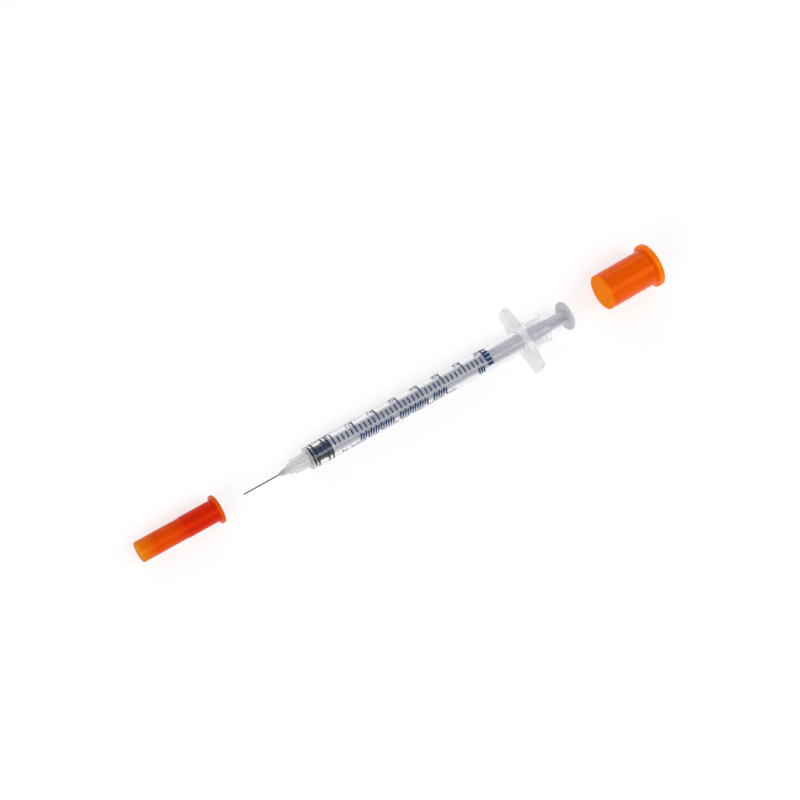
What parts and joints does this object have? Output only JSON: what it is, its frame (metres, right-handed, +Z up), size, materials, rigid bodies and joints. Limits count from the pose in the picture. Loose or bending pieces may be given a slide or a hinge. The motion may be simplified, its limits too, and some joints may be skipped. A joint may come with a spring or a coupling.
{
  "type": "insulin syringe",
  "caption": "Slim clear insulin syringe lying on its side, with fixed needle, unit scale, winged finger flange, cross-shaped plunger, rubber stopper and orange pull-off caps.",
  "frame": {"origin": "under the middle of the whole set, on the surface that the syringe and its caps lie on", "axes": "+X along the syringe's axis from the needle to the thumb disc, Y along the finger flange's wings, +Z up from the surface"},
  "size_m": [0.1694, 0.02, 0.0133],
  "materials": {
    "clear_barrel": "clear, polished; frosted on the finger flange",
    "needle_steel": "drawn and polished",
    "set_adhesive": "smooth, slightly cloudy",
    "stopper_rubber": "smooth, siliconed",
    "plunger_plastic": "moulded, satin, slightly translucent",
    "shield_orange": "translucent, satin gloss",
    "cap_orange": "translucent, satin gloss"
  },
  "bodies": {
    "barrel": {"barrel": "clear_barrel", "needle": "needle_steel", "needle_adhesive": "set_adhesive"},
    "plunger": {"plunger_rod": "plunger_plastic", "stopper": "stopper_rubber"},
    "needle_shield": {"needle_shield": "shield_orange"},
    "plunger_cap": {"plunger_cap": "cap_orange"}
  },
  "joints": [
    {"name": "plunger_slide", "type": "slide", "parent": "barrel", "child": "plunger", "axis": [1, 0, 0], "range_m": [0, 0.0569]},
    {"name": "needle_shield_slide", "type": "slide", "parent": "barrel", "child": "needle_shield", "axis": [1, 0, 0], "range_m": [0, 0.02775]},
    {"name": "plunger_cap_slide", "type": "slide", "parent": "plunger", "child": "plunger_cap", "axis": [1, 0, 0], "range_m": [0, 0.01625]}
  ]
}
